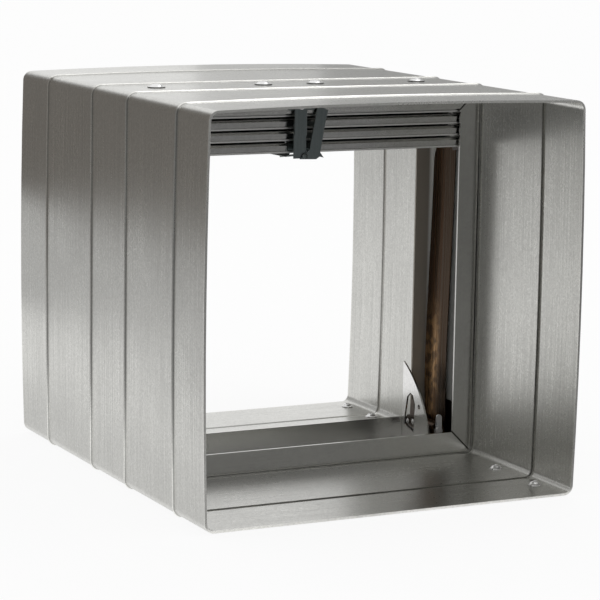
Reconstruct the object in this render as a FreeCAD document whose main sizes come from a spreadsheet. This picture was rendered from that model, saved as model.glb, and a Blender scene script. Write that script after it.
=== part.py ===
import FreeCAD, Part
import math
import os
import re
import Sketcher
from FreeCAD import Rotation, Vector

# Folding-curtain fire damper for a rectangular duct, in its open, latched state.
# Axes: X across the duct, Y along the airflow with the front opening at -Y, Z up.
# Origin: centre of the resting face, on the crests of the bottom beads.

# Driving dimensions in millimetres and degrees, one row for each independent size
SIZES = {
    # folded sheet casing
    "casing_width": 204.0,
    "casing_height": 200.0,
    "casing_depth": 246.0,
    "casing_sheet": 1.2,
    "casing_corner": 5.0,
    "end_crown": 1.5,
    "band_crown": 0.3,
    "band_centre": -1.5,
    "band_width": 54.0,
    # stiffening beads pressed round the casing
    "bead_spacing": 46.0,
    "bead_width": 3.6,
    "bead_height": 0.8,
    "front_bead_inset": 37.0,
    "rear_bead_inset": 39.0,
    # channel frame inside the casing
    "frame_sheet": 1.2,
    "frame_front": -22.0,
    "frame_width": 47.6,
    "flange_height": 11.4,
    "frame_fit": 0.2,
    "mitre_gap": 0.15,
    "cutting_spare": 1.0,
    # curtain of interlocking blades
    "blade_count": 9,
    "blade_sheet": 0.6,
    "blade_end_gap": 4.9,
    "hinge_inset": 5.7,
    "hinge_drop": 3.2,
    "knuckle_pitch": 6.2,
    "closed_angle": 78.0,
    "sill_gap": 1.8,
    "curl_radius": 1.8,
    "curl_tip_angle": -30.0,
    "curl_clearance": 0.3,
    "hook_corner": 1.2,
    "hook_drop": 1.2,
    "hook_lip_in": 0.6,
    "hook_lip_down": 1.0,
    "hem_width": 5.0,
    "hem_gap": 0.4,
    "hanger_depth": 34.0,
    "hanger_bend": 3.6,
    # notch in the last full blade for the strap's lug
    "notch_left": -11.2,
    "notch_right": 5.2,
    "notch_gap": 0.6,
    # retaining strap, left and right of the duct's middle, above and below a hinge line
    "strap_sheet": 0.9,
    "strap_front": -24.6,
    "strap_top_left": 3.7,
    "strap_top_right": 9.5,
    "strap_top_drop": 2.7,
    "strap_shoulder_drop": 5.5,
    "strap_waist_left": 0.3,
    "strap_waist_rise": 5.5,
    "strap_neck_left": -0.8,
    "strap_neck_drop": 0.5,
    "strap_toe_left": -6.1,
    "strap_toe_drop": 5.4,
    "strap_sole_right": 3.0,
    "strap_sole_drop": 5.7,
    "strap_arch_right": 5.0,
    "strap_arch_drop": 4.4,
    "strap_heel_right": 7.3,
    "strap_heel_drop": 5.0,
    "strap_ankle_right": 5.3,
    "strap_ankle_drop": 2.2,
    "strap_back_right": 8.0,
    "strap_back_rise": 13.4,
    "strap_lug_angle": 80.0,
    "strap_rivet_left": -3.4,
    "strap_rivet_drop": 3.9,
    # tongue under the bottom blade
    "foot_left": -6.4,
    "foot_width": 5.0,
    "foot_drop": 3.6,
    "foot_sheet": 0.9,
    "foot_hem_gap": 1.06,
    "foot_flange": 6.0,
    "foot_tip": 4.2,
    # fusible link and its bracket
    "link_sheet": 0.5,
    "link_left": -9.5,
    "link_width": 7.0,
    "link_gap": 0.35,
    "link_lower_drop": 5.1,
    "link_lower_rise": 12.6,
    "link_upper_rise": 6.6,
    "link_top_gap": 0.2,
    "stud_drop": 2.7,
    "stud_head_radius": 2.1,
    "clinch_radius": 1.0,
    "pin_gap": 0.05,
    "bracket_left": -12.0,
    "bracket_width": 14.5,
    "bracket_drop": 1.2,
    "bracket_height": 8.4,
    "bracket_sheet": 0.8,
    "bracket_rivet_inset": 2.4,
    "bracket_rivet_drop": 2.7,
    # constant-force closing springs and their reels
    "strip_sheet": 0.3,
    "strip_rear_gap": 3.9,
    "strip_width": 23.0,
    "strip_lean": 2.1,
    "coil_radius": 4.3,
    "coil_inset": 8.3,
    "coil_lift": 7.1,
    "hub_radius": 2.4,
    "hub_spare": 0.2,
    "axle_radius": 1.2,
    "axle_head": 2.0,
    "axle_head_rise": 0.6,
    "axle_tail": 0.4,
    "axle_play": 0.3,
    "ear_height": 16.1,
    "ear_width": 3.6,
    "ear_gap": 0.6,
    "reel_base_width": 7.1,
    "cheek_height": 11.0,
    "cheek_length": 10.9,
    # strip clips under the bottom blade, and corner cleats
    "clip_sheet": 0.8,
    "clip_gap": 0.3,
    "clip_front": 8.5,
    "clip_reach": 11.0,
    "clip_leg": 5.8,
    "clip_hem_gap": 0.6,
    "cleat_sheet": 1.0,
    "cleat_front": -6.0,
    "cleat_width": 20.0,
    "cleat_height": 22.9,
    "cleat_foot": 6.4,
    # guide plates, with places ahead of their rear edge and rises above the sill
    "guide_sheet": 1.0,
    "guide_inset": 15.8,
    "guide_foot": 8.2,
    "guide_rear_gap": 0.2,
    "guide_length": 31.2,
    "guide_rise": 41.4,
    "guide_edge_radius": 62.0,
    "guide_hole_radius": 1.3,
    "guide_hole_place": 18.6,
    "guide_hole_rise": 19.0,
    "window_peak_place": 8.5,
    "window_peak_rise": 25.2,
    "window_brow_place": 11.7,
    "window_brow_rise": 24.2,
    "window_front": 14.2,
    "window_front_rise": 19.7,
    "window_toe_place": 13.0,
    "window_toe_rise": 3.6,
    "window_rear": 2.0,
    "window_sill_rise": 6.6,
    "window_back_rise": 9.0,
    "window_cheek_place": 5.1,
    "window_cheek_rise": 22.4,
    # lock leaf behind each window
    "leaf_sheet": 0.4,
    "leaf_gap": 0.3,
    "leaf_front": 12.0,
    "leaf_front_rise": 5.0,
    "leaf_rear": 2.7,
    "leaf_rear_rise": 6.8,
    "leaf_back_rise": 11.5,
    "leaf_step_place": 6.2,
    "leaf_step_rise": 12.5,
    "leaf_tongue_front": 10.0,
    "leaf_tongue_rear": 7.4,
    "leaf_tongue_rise": 21.5,
    "leaf_rivet_rear": 4.2,
    "leaf_rivet_rear_rise": 8.4,
    "leaf_rivet_front": 10.1,
    "leaf_rivet_front_rise": 9.1,
    # rivets
    "rivet_radius": 4.6,
    "rivet_crest": 2.7,
    "rivet_rise": 1.7,
    "rivet_gap": 0.05,
    "rivet_outer_inset": 27.0,
    "rivet_inner_place": 15.0,
    "seam_rivet_radius": 3.4,
    "seam_rivet_crest": 2.0,
    "seam_rivet_rise": 1.3,
    "seam_rivet_inset": 9.0,
    "seam_rivet_first": 22.0,
    "seam_rivet_second": 61.0,
    "seam_rivet_third": 45.0,
    "seam_rivet_fourth": 15.0,
    "small_rivet_radius": 1.5,
    "small_rivet_rise": 0.8,
}
ALIAS = re.compile(r"\b(" + "|".join(sorted(SIZES, key=len, reverse=True)) + r")\b")

doc = FreeCAD.newDocument("FireDamper")
sheet = doc.addObject("Spreadsheet::Sheet", "Sizes")
for row, (alias, size) in enumerate(SIZES.items(), start=1):
    sheet.set(f"A{row}", alias)
    sheet.set(f"B{row}", str(size))
    sheet.setAlias(f"B{row}", alias)
doc.recompute()


def named(formula):
    """The formula with every size alias pointed at the sheet."""
    return ALIAS.sub(r"Sizes.\1", formula)


def solve(formula):
    """The number that a formula gives with the sheet's present values."""
    answer = sheet.evalExpression(named(formula))
    return float(getattr(answer, "Value", answer))


def bind(thing, **formulas):
    """Ties properties to formulas; a double underscore in a name stands for a dot."""
    for path, formula in formulas.items():
        thing.setExpression(path.replace("__", "."), named(formula))


# Shared places, as formulas of the sizes
FLOOR = "bead_height"
ROOF = "(bead_height + casing_height)"
HALF_WIDTH = "(casing_width / 2)"
FRONT = "(-casing_depth / 2)"
REAR = "(casing_depth / 2)"
BAND_FRONT = "(band_centre - band_width / 2)"
BAND_REAR = "(band_centre + band_width / 2)"
MIDDLE = "(bead_height + casing_height / 2)"
WEB_OUT = "(casing_width / 2 - casing_sheet - frame_fit)"
WEB_IN = "(casing_width / 2 - casing_sheet - frame_fit - frame_sheet)"
RISE_OUT = "(casing_height / 2 - casing_sheet - frame_fit)"
RISE_IN = "(casing_height / 2 - casing_sheet - frame_fit - frame_sheet)"
FRAME_REAR = "(frame_front + frame_width)"
SILL = f"({MIDDLE} - {RISE_IN})"
LINTEL = f"({MIDDLE} + {RISE_IN})"
HALF_BLADE = f"({WEB_IN} - blade_end_gap)"
GUIDE = f"({WEB_IN} - guide_inset)"
COIL = f"({WEB_IN} - coil_inset)"

GUIDE_REAR = f"({FRAME_REAR} - frame_sheet - guide_rear_gap)"
STRIP_REAR = f"({FRAME_REAR} - frame_sheet - strip_rear_gap)"
STRIP_FRONT = f"({STRIP_REAR} - strip_width)"

# Hinge lines of the curtain
count = round(solve("blade_count"))
FIRST_HINGE = f"({LINTEL} - hinge_drop)"
HINGE_FRONT = "(frame_front + hinge_inset)"
DROP = "(knuckle_pitch / 2)"
FALL = f"({FIRST_HINGE} - {SILL} - sill_gap)"
BLADE = f"({FALL} / (blade_count * sin(closed_angle * 1 deg)))"
FOLD = f"asin({DROP} / {BLADE})"
HINGE_REAR = f"({HINGE_FRONT} + sqrt({BLADE}^2 - {DROP}^2))"
HOOK = "(curl_radius + blade_sheet + curl_clearance)"


def new_body(label):
    body = doc.addObject("PartDesign::Body", label)
    body.Label = label
    return body


def new_sketch(body, plane, name, offset=None):
    """A sketch on one of the body's own planes, moved along the plane's normal by a formula."""
    sketch = body.newObject("Sketcher::SketchObject", name)
    origin_plane = next(f for f in body.Origin.OriginFeatures if f.Role == plane)
    sketch.AttachmentSupport = (origin_plane, [""])
    sketch.MapMode = "FlatFace"
    if offset:
        bind(sketch, AttachmentOffset__Base__z=offset)
    return sketch


def hold(sketch, geometry, end, across, up):
    """Fixes a point of the sketch at two formulas."""
    for kind, formula in (("DistanceX", across), ("DistanceY", up)):
        index = sketch.addConstraint(Sketcher.Constraint(kind, -1, 1, geometry, end, solve(formula)))
        sketch.setExpression(f"Constraints[{index}]", named(formula))


def arc_through(start, end, radius, turn):
    """An arc from start to end; turn is +1 for anticlockwise and -1 for clockwise."""
    middle = (start + end) / 2
    chord = end - start
    sideways = Vector(-chord.y, chord.x, 0).normalize()
    rise = math.sqrt(max(radius ** 2 - chord.Length ** 2 / 4, 0))
    centre = middle + sideways * rise * turn
    first, last = (start, end) if turn > 0 else (end, start)
    angles = [math.atan2(p.y - centre.y, p.x - centre.x) for p in (first, last)]
    if angles[1] < angles[0]:
        angles[1] += 2 * math.pi
    return Part.ArcOfCircle(Part.Circle(centre, Vector(0, 0, 1), radius), *angles)


def outline(sketch, corners, closed=True):
    """Draws a chain through corners (across, up) or (across, up, radius, turn).

    The last two values bend the stretch that leaves a corner into an arc."""
    count = len(corners)
    points = [Vector(solve(c[0]), solve(c[1]), 0) for c in corners]
    spans = count if closed else count - 1
    ends = []
    for i in range(spans):
        start, end = points[i], points[(i + 1) % count]
        if len(corners[i]) == 4:
            radius, turn = corners[i][2:]
            piece = sketch.addGeometry(arc_through(start, end, solve(radius), turn))
            ends.append((piece, 1, 2) if turn > 0 else (piece, 2, 1))
            index = sketch.addConstraint(Sketcher.Constraint("Radius", piece, solve(radius)))
            sketch.setExpression(f"Constraints[{index}]", named(radius))
        else:
            piece = sketch.addGeometry(Part.LineSegment(start, end))
            ends.append((piece, 1, 2))
    for i in range(spans):
        hold(sketch, ends[i][0], ends[i][1], *corners[i][:2])
        if closed or i + 1 < spans:
            following = ends[(i + 1) % spans]
            sketch.addConstraint(Sketcher.Constraint(
                "Coincident", ends[i][0], ends[i][2], following[0], following[1]))
    if not closed:
        hold(sketch, ends[-1][0], ends[-1][2], *corners[-1][:2])


def pad(body, sketch, length, both_ways=False, backwards=False):
    feature = body.newObject("PartDesign::Pad", "Pad")
    feature.Profile = sketch
    bind(feature, Length=length)
    feature.Midplane = both_ways
    feature.Reversed = backwards
    return feature


def crown_radius(span, crown):
    """Radius of the arc that rises by the crown over the span."""
    return f"((({span}) / 2)^2 + ({crown})^2) / (2 * ({crown}))"


# Casing

def crown_at(place):
    """Crown of the walls at a place between the band of the frame and an end of the casing."""
    front = solve(place) < solve("band_centre")
    near, far = (BAND_FRONT, FRONT) if front else (BAND_REAR, REAR)
    return f"(band_crown + (end_crown - band_crown) * ({place} - {near}) / ({far} - {near}))"


def bead(place, crown):
    """Cross-sections over one pressed bead, as (place, crown, rise)."""
    return [(f"({place} - bead_width / 2)", crown, "0"), (place, crown, "bead_height"),
            (f"({place} + bead_width / 2)", crown, "0")]


def casing_stations():
    """All cross-sections of the casing from front to rear."""
    front_bead = f"({FRONT} + front_bead_inset)"
    rear_bead = f"({REAR} - rear_bead_inset)"
    return [
        (FRONT, "end_crown", "0"),
        *bead(front_bead, crown_at(front_bead)),
        (BAND_FRONT, "band_crown", "0"),
        *bead("(band_centre - bead_spacing / 2)", "band_crown"),
        *bead("(band_centre + bead_spacing / 2)", "band_crown"),
        (BAND_REAR, "band_crown", "0"),
        *bead(rear_bead, crown_at(rear_bead)),
        (REAR, "end_crown", "0"),
    ]


def casing_section(body, name, place, inset, crown):
    """One cross-section of the casing: three crowned walls, a flat floor and four round corners."""
    half = f"({HALF_WIDTH} - {inset})"
    low = f"({FLOOR} + {inset})"
    high = f"({ROOF} - {inset})"
    bend = f"(casing_corner - {inset})"
    side = crown_radius(f"{high} - {low} - 2 * {bend}", crown)
    top = crown_radius(f"2 * ({half} - {bend})", crown)
    sketch = new_sketch(body, "XZ_Plane", name, offset=f"-({place})")
    outline(sketch, [
        (f"-{half} + {bend}", low),
        (f"{half} - {bend}", low, bend, 1),
        (half, f"{low} + {bend}", side, 1),
        (half, f"{high} - {bend}", bend, 1),
        (f"{half} - {bend}", high, top, 1),
        (f"-{half} + {bend}", high, bend, 1),
        (f"-{half}", f"{high} - {bend}", side, 1),
        (f"-{half}", f"{low} + {bend}", bend, 1),
    ])
    return sketch


def casing_block(label, inset):
    """A solid with the casing's beaded outline, moved inwards by the inset."""
    body = new_body(label)
    sections = [casing_section(body, f"{label}_section{i}", place, f"({inset} - {rise})", crown)
                for i, (place, crown, rise) in enumerate(casing_stations())]
    loft = body.newObject("PartDesign::AdditiveLoft", "Loft")
    loft.Profile = sections[0]
    loft.Sections = sections[1:]
    loft.Ruled = True
    return body


def spot(part, x, y, z):
    bind(part, Placement__Base__x=x, Placement__Base__y=y, Placement__Base__z=z)


def block(label, x, y, z):
    """A box between pairs of formulas on the three axes."""
    part = doc.addObject("Part::Box", label)
    bind(part, Length=f"{x[1]} - ({x[0]})", Width=f"{y[1]} - ({y[0]})", Height=f"{z[1]} - ({z[0]})")
    spot(part, x[0], y[0], z[0])
    return part


def rod(label, radius, length, along, x, y, z):
    part = doc.addObject("Part::Cylinder", label)
    bind(part, Radius=radius, Height=length)
    part.Placement.Rotation = Rotation(Vector(0, 0, 1), along)
    spot(part, x, y, z)
    return part


def fuse(label, shapes):
    part = doc.addObject("Part::MultiFuse", label)
    part.Shapes = shapes
    part.Refine = False
    return part


def cut(label, base, tools):
    part = doc.addObject("Part::Cut", label)
    part.Base = base
    part.Refine = False
    part.Tool = tools[0] if len(tools) == 1 else fuse(f"{label}_tools", tools)
    return part


def overlap(label, shapes):
    part = doc.addObject("Part::MultiCommon", label)
    part.Shapes = shapes
    return part


def mirrored(side, low, high):
    """An X range on the right (side 1) or its mirror image on the left (side -1)."""
    return (low, high) if side > 0 else (f"-({high})", f"-({low})")


def make_casing():
    return cut("casing", casing_block("casing_outside", "0"), [casing_block("casing_inside", "casing_sheet")])


def button(label, low, high, height, out, x, y, z):
    """A tapered rivet head on the face through a place, pointing along the unit vector out."""
    part = doc.addObject("Part::Cone", label)
    bind(part, Radius1=low, Radius2=high, Height=height)
    part.Placement.Rotation = Rotation(Vector(0, 0, 1), out)
    spot(part, x, y, z)
    return part


UP = Vector(0, 0, 1)
FRONTWARD = Vector(0, -1, 0)


def make_seam_rivets():
    places = [f"({FRONT} + seam_rivet_first)", f"({FRONT} + seam_rivet_second)",
              f"({REAR} - seam_rivet_third)", f"({REAR} - seam_rivet_fourth)"]
    heads = [button(f"seam_rivet{i}", "seam_rivet_radius", "seam_rivet_crest", "seam_rivet_rise", UP,
                    f"({HALF_WIDTH} - seam_rivet_inset)", place, f"({FLOOR} + casing_sheet)")
             for i, place in enumerate(places)]
    return fuse("casing_seam_rivets", heads)


# Channel frame

def make_envelope():
    """The room for the frame: a block with corners that clear the casing's bends."""
    bend = "(casing_corner - casing_sheet - frame_fit)"
    body = new_body("frame_envelope")
    section = new_sketch(body, "XZ_Plane", "frame_envelope_section", offset="-frame_front")
    low = f"({MIDDLE} - {RISE_OUT})"
    high = f"({MIDDLE} + {RISE_OUT})"
    outline(section, [
        (f"-{WEB_OUT} + {bend}", low),
        (f"{WEB_OUT} - {bend}", low, bend, 1),
        (WEB_OUT, f"{low} + {bend}"),
        (WEB_OUT, f"{high} - {bend}", bend, 1),
        (f"{WEB_OUT} - {bend}", high),
        (f"-{WEB_OUT} + {bend}", high, bend, 1),
        (f"-{WEB_OUT}", f"{high} - {bend}"),
        (f"-{WEB_OUT}", f"{low} + {bend}", bend, 1),
    ])
    pad(body, section, "frame_width", backwards=True)
    return body


def channel(label, turned, envelope):
    """One mitred C-channel lying on the floor, or turned to another side of the casing."""
    half = RISE_OUT if turned in (90, 270) else WEB_OUT
    depth = WEB_OUT if turned in (90, 270) else RISE_OUT
    body = new_body(f"{label}_channel")
    section = new_sketch(body, "YZ_Plane", f"{label}_section", offset=f"-{half}")
    outline(section, [
        ("frame_front", f"-{depth}"),
        (FRAME_REAR, f"-{depth}"),
        (FRAME_REAR, f"-{depth} + flange_height"),
        (f"{FRAME_REAR} - frame_sheet", f"-{depth} + flange_height"),
        (f"{FRAME_REAR} - frame_sheet", f"-{depth} + frame_sheet"),
        ("frame_front + frame_sheet", f"-{depth} + frame_sheet"),
        ("frame_front + frame_sheet", f"-{depth} + flange_height"),
        ("frame_front", f"-{depth} + flange_height"),
    ])
    pad(body, section, f"2 * {half}")
    for end in (-1, 1):
        mitre = new_sketch(body, "XZ_Plane", f"{label}_mitre{end}", offset="-frame_front")
        tip = f"{end} * ({half} - mitre_gap)"
        far = f"{end} * ({half} + cutting_spare)"
        above = "(flange_height + cutting_spare)"
        outline(mitre, [
            (tip, f"-{depth} - cutting_spare"),
            (tip, f"-{depth}"),
            (f"{end} * ({half} - mitre_gap - {above})", f"-{depth} + {above}"),
            (far, f"-{depth} + {above}"),
            (far, f"-{depth} - cutting_spare"),
        ])
        pocket = body.newObject("PartDesign::Pocket", "Mitre")
        pocket.Profile = mitre
        bind(pocket, Length="frame_width")
        pocket.Reversed = False
    body.Placement.Rotation = Rotation(Vector(0, 1, 0), turned)
    spot(body, "0", "0", MIDDLE)
    return overlap(label, [body, envelope])


def make_top_rivets():
    """Heads on the crowned top of the casing, over the middle of the top channel."""
    outer = f"({HALF_WIDTH} - rivet_outer_inset)"
    places = [f"(-{outer})", "(-rivet_inner_place)", "rivet_inner_place", outer]
    span = "(casing_width / 2 - casing_corner)"
    heads = [button(f"top_rivet{i}", "rivet_radius", "rivet_crest", "rivet_rise", UP, place,
                    "(frame_front + frame_width / 2)",
                    f"({ROOF} + band_crown * (1 - ({place} / {span})^2) + rivet_gap)")
             for i, place in enumerate(places)]
    return fuse("frame_top_rivets", heads)


# Curtain

def folded(label, corners, sheet_size, x_range):
    """A sheet of even thickness along a chain of (Y, Z) corners, between two X places."""
    path = doc.addObject("Sketcher::SketchObject", f"{label}_path")
    path.Placement.Rotation = Rotation(Vector(0, 1, 0), Vector(0, 0, 1), Vector(1, 0, 0), "XYZ")
    bind(path, Placement__Base__x=x_range[0])
    outline(path, corners, closed=False)
    section = doc.addObject("Part::Offset2D", f"{label}_section")
    section.Source = path
    section.Mode = "Pipe"
    section.Fill = True
    section.Join = "Intersection"
    bind(section, Value=f"({sheet_size}) / 2")
    sheet_part = doc.addObject("Part::Extrusion", label)
    sheet_part.Base = section
    sheet_part.DirMode = "Custom"
    sheet_part.Dir = Vector(1, 0, 0)
    sheet_part.Solid = True
    bind(sheet_part, LengthFwd=f"{x_range[1]} - ({x_range[0]})")
    return sheet_part


def curl(side):
    """The open roll at a blade's upper edge, from its tip to the start of the web."""
    def point(angle):
        turn = f"({angle} * 1 deg)"
        return (f"{side} * curl_radius * cos({turn})", f"curl_radius * sin({turn})")
    tip, middle = point("curl_tip_angle"), point("(curl_tip_angle - 270) / 2")
    return [tip + ("curl_radius", -side), middle + ("curl_radius", -side), ("0", "curl_radius")]


def hook(side, place):
    """The squared hook round the next blade's roll, as it follows from the web."""
    outside = f"({place} + {HOOK})"
    return [
        (f"{side} * ({outside} - hook_corner)", HOOK),
        (f"{side} * {outside}", f"{HOOK} - hook_corner"),
        (f"{side} * {outside}", "-hook_drop"),
        (f"{side} * ({outside} - hook_lip_in)", "-hook_drop - hook_lip_down"),
    ]


def hem(side, place):
    """The free edge folded back under the web."""
    level = "(curl_radius + blade_sheet)"
    under = f"({level} - blade_sheet - hem_gap)"
    return [
        (f"{side} * {place}", level),
        (f"{side} * {place}", under),
        (f"{side} * ({place} - hem_width)", under),
    ]


def hinge(index):
    """Height of a hinge line at rest, counted from the top."""
    return f"({FIRST_HINGE} - {index} * {DROP})"


def make_blade(index, last):
    """Blade number index from the top; odd blades slope to the rear and even ones to the front."""
    side = 1 if index % 2 else -1
    label = "bottom_blade" if last else f"blade_{index}"
    corners = curl(side) + (hem(side, BLADE) if last else hook(side, BLADE))
    notched = index == count - 1
    blade = folded(f"{label}_sheet" if notched else label, corners, "blade_sheet",
                   (f"-{HALF_BLADE}", HALF_BLADE))
    if notched:
        opening = block(f"{label}_notch", ("notch_left", "notch_right"),
                        (f"-{BLADE} - {HOOK} - cutting_spare", f"-{BLADE} + {HOOK}"),
                        (f"-{HOOK} - cutting_spare", f"{HOOK} + cutting_spare"))
        blade = cut(label, blade, [opening])
    blade.Placement.Rotation = Rotation(Vector(-side, 0, 0), 1)
    bind(blade, Placement__Rotation__Angle=FOLD)
    spot(blade, "0", HINGE_FRONT if side > 0 else HINGE_REAR, hinge(index - 1))
    return blade


def make_hanger():
    """Sheet under the top channel that ends in the hook for the first blade."""
    level = f"({LINTEL} - {FIRST_HINGE} - blade_sheet / 2)"
    corners = [("hanger_depth", level), ("hanger_bend", level)] + hook(-1, "0")
    hanger = folded("curtain_hanger", corners, "blade_sheet", (f"-{HALF_BLADE}", HALF_BLADE))
    spot(hanger, "0", HINGE_FRONT, FIRST_HINGE)
    return hanger


LAST_HINGE = f"({FIRST_HINGE} - (blade_count - 1) * {DROP})"


def make_foot():
    """The folded tongue under the bottom blade that the strap closes against."""
    flange = "(curl_radius - blade_sheet / 2 - foot_sheet / 2)"
    level = "(-foot_drop - foot_sheet / 2)"
    reach = f"({BLADE} - hem_width - foot_hem_gap)"
    foot = folded("strap_foot", [
        (f"{reach} - foot_flange", flange),
        (reach, flange),
        (reach, level),
        ("-foot_tip", level),
    ], "foot_sheet", ("foot_left", "foot_left + foot_width"))
    foot.Placement.Rotation = Rotation(Vector(-1, 0, 0), 1)
    bind(foot, Placement__Rotation__Angle=FOLD)
    spot(foot, "0", HINGE_FRONT, LAST_HINGE)
    return foot


# Strap and fusible link

def upright(label, corners, front, thick):
    """A flat plate across the duct from (X, Z) corners, with its front face at a Y place."""
    body = new_body(label)
    shape = new_sketch(body, "XZ_Plane", f"{label}_outline", offset=f"-({front})")
    outline(shape, corners)
    pad(body, shape, thick, backwards=True)
    return body


def make_strap():
    """Slanted arm with its lug round the roll of the bottom blade."""
    arm = upright("strap_arm", [
        ("strap_top_left", f"{FIRST_HINGE} - strap_top_drop"),
        ("strap_waist_left", f"{LAST_HINGE} + strap_waist_rise"),
        ("strap_neck_left", f"{LAST_HINGE} - strap_neck_drop"),
        ("strap_toe_left", f"{LAST_HINGE} - strap_toe_drop"),
        ("strap_sole_right", f"{LAST_HINGE} - strap_sole_drop"),
        ("strap_arch_right", f"{LAST_HINGE} - strap_arch_drop"),
        ("strap_heel_right", f"{LAST_HINGE} - strap_heel_drop"),
        ("strap_ankle_right", f"{LAST_HINGE} - strap_ankle_drop"),
        ("strap_back_right", f"{LAST_HINGE} + strap_back_rise"),
        ("strap_top_right", f"{FIRST_HINGE} - strap_shoulder_drop"),
    ], "strap_front", "strap_sheet")
    lug_left = "(notch_left + notch_gap)"
    lug_right = "(notch_right - notch_gap)"
    turn = "(strap_lug_angle * 1 deg)"
    lug = folded("strap_lug", [
        (f"-{HOOK} * cos({turn})", f"{HOOK} * sin({turn})", HOOK, 1),
        (f"-{HOOK}", "0", HOOK, 1),
        (f"-{HOOK} * cos({turn})", f"-{HOOK} * sin({turn})"),
    ], "blade_sheet", (lug_left, lug_right))
    spot(lug, "0", HINGE_FRONT, LAST_HINGE)
    stem = block("strap_stem", ("0", lug_right),
                 ("strap_front + strap_sheet / 2", f"{HINGE_FRONT} - {HOOK}"),
                 (f"{LAST_HINGE} - strap_sheet / 2", f"{LAST_HINGE} + strap_sheet / 2"))
    return fuse("strap", [arm, lug, stem])


LINK_LEVEL = f"({FIRST_HINGE} - stud_drop)"
LINK_MIDDLE = "(link_left + link_width / 2)"
LINK_FRONT = "(strap_front + strap_sheet - link_gap - link_sheet)"


def make_links():
    """The two soldered plates of the fusible link; the lower one rides on the strap."""
    lower = block("link_lower", ("link_left", "link_left + link_width"),
                  ("strap_front + strap_sheet", "strap_front + strap_sheet + link_sheet"),
                  (f"{LAST_HINGE} - link_lower_drop", f"{LAST_HINGE} + link_lower_rise"))
    plate = block("link_upper_plate", ("link_left", "link_left + link_width"),
                  (LINK_FRONT, f"{LINK_FRONT} + link_sheet"),
                  (f"{LAST_HINGE} + link_upper_rise", f"{FIRST_HINGE} - link_top_gap"))
    hole = rod("link_upper_hole", "clinch_radius + pin_gap", "link_sheet + 2 * cutting_spare",
               FRONTWARD, LINK_MIDDLE, f"{LINK_FRONT} + link_sheet + cutting_spare", LINK_LEVEL)
    cut("link_upper", plate, [hole])
    return lower


def make_link_bracket():
    """Plate on the top channel's front flange with the stud that carries the link."""
    top = f"({LINTEL} + frame_sheet - bracket_drop)"
    plate = block("link_bracket_plate", ("bracket_left", "bracket_left + bracket_width"),
                  ("frame_front - bracket_sheet", "frame_front"), (f"{top} - bracket_height", top))
    hole = rod("link_bracket_hole", "clinch_radius + pin_gap", "bracket_sheet + 2 * cutting_spare",
               FRONTWARD, LINK_MIDDLE, "frame_front + cutting_spare", LINK_LEVEL)
    cut("link_bracket", plate, [hole])
    shank = rod("link_stud_shank", "clinch_radius", f"frame_front - {LINK_FRONT}", FRONTWARD,
                LINK_MIDDLE, "frame_front", LINK_LEVEL)
    stud = rod("link_stud_head", "stud_head_radius", "small_rivet_rise", FRONTWARD,
               LINK_MIDDLE, LINK_FRONT, LINK_LEVEL)
    fuse("link_stud", [shank, stud])
    places = ["(bracket_left + bracket_rivet_inset)",
              "(bracket_left + bracket_width - bracket_rivet_inset)"]
    fuse("link_bracket_rivets", [
        rod(f"link_bracket_rivet{i}", "small_rivet_radius", "small_rivet_rise", FRONTWARD, place,
            "(frame_front - bracket_sheet)", f"({top} - bracket_rivet_drop)")
        for i, place in enumerate(places)])
    rod("strap_rivet", "small_rivet_radius", "small_rivet_rise", FRONTWARD, "strap_rivet_left",
        "strap_front", f"({LAST_HINGE} - strap_rivet_drop)")


# Corner fittings and closing springs

COIL_LEVEL = f"({SILL} + coil_lift)"


def ahead(distance):
    """A place along the duct that lies a distance in front of the guide plates' rear edge."""
    return f"({GUIDE_REAR} - {distance})"


def profile(label, side, corners, near, thick):
    """A flat plate along the duct from (Y, Z) corners, starting at the distance near from the axis."""
    body = new_body(label)
    low = near if side > 0 else f"-({near}) - ({thick})"
    shape = new_sketch(body, "YZ_Plane", f"{label}_outline", offset=low)
    outline(shape, corners)
    pad(body, shape, thick)
    return body


def make_guide(side, name):
    """Ramp plate with its window and slot hole, and the foot that fixes it to the sill."""
    plate = profile(f"guide_web_{name}", side, [
        (GUIDE_REAR, SILL),
        (GUIDE_REAR, f"{SILL} + guide_rise", "guide_edge_radius", 1),
        (ahead("guide_length"), SILL),
    ], GUIDE, "guide_sheet")
    window = profile(f"guide_window_{name}", side, [
        (ahead("window_peak_place"), f"{SILL} + window_peak_rise"),
        (ahead("window_brow_place"), f"{SILL} + window_brow_rise"),
        (ahead("window_front"), f"{SILL} + window_front_rise"),
        (ahead("window_toe_place"), f"{SILL} + window_toe_rise"),
        (ahead("window_rear"), f"{SILL} + window_sill_rise"),
        (ahead("window_rear"), f"{SILL} + window_back_rise"),
        (ahead("window_cheek_place"), f"{SILL} + window_cheek_rise"),
    ], f"({GUIDE} - cutting_spare)", "guide_sheet + 2 * cutting_spare")
    start = mirrored(side, f"{GUIDE} - cutting_spare", f"{GUIDE} + guide_sheet + cutting_spare")[0]
    hole = rod(f"guide_hole_{name}", "guide_hole_radius", "guide_sheet + 2 * cutting_spare",
               Vector(1, 0, 0), start, ahead("guide_hole_place"), f"{SILL} + guide_hole_rise")
    foot = block(f"guide_foot_{name}",
                 mirrored(side, f"{GUIDE} + guide_sheet / 2", f"{GUIDE} + guide_sheet + guide_foot"),
                 (ahead("guide_length"), GUIDE_REAR), (SILL, f"{SILL} + guide_sheet"))
    return cut(f"guide_plate_{name}", fuse(f"guide_blank_{name}", [plate, foot]), [window, hole])


CHEEK = f"({GUIDE} + guide_sheet + leaf_gap + leaf_sheet + leaf_gap)"
EAR_FRONT = f"({STRIP_FRONT} - ear_gap - bracket_sheet)"
EAR_REAR = f"({STRIP_REAR} + ear_gap + bracket_sheet)"
EAR_FOOT = f"({SILL} + guide_sheet)"


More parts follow.
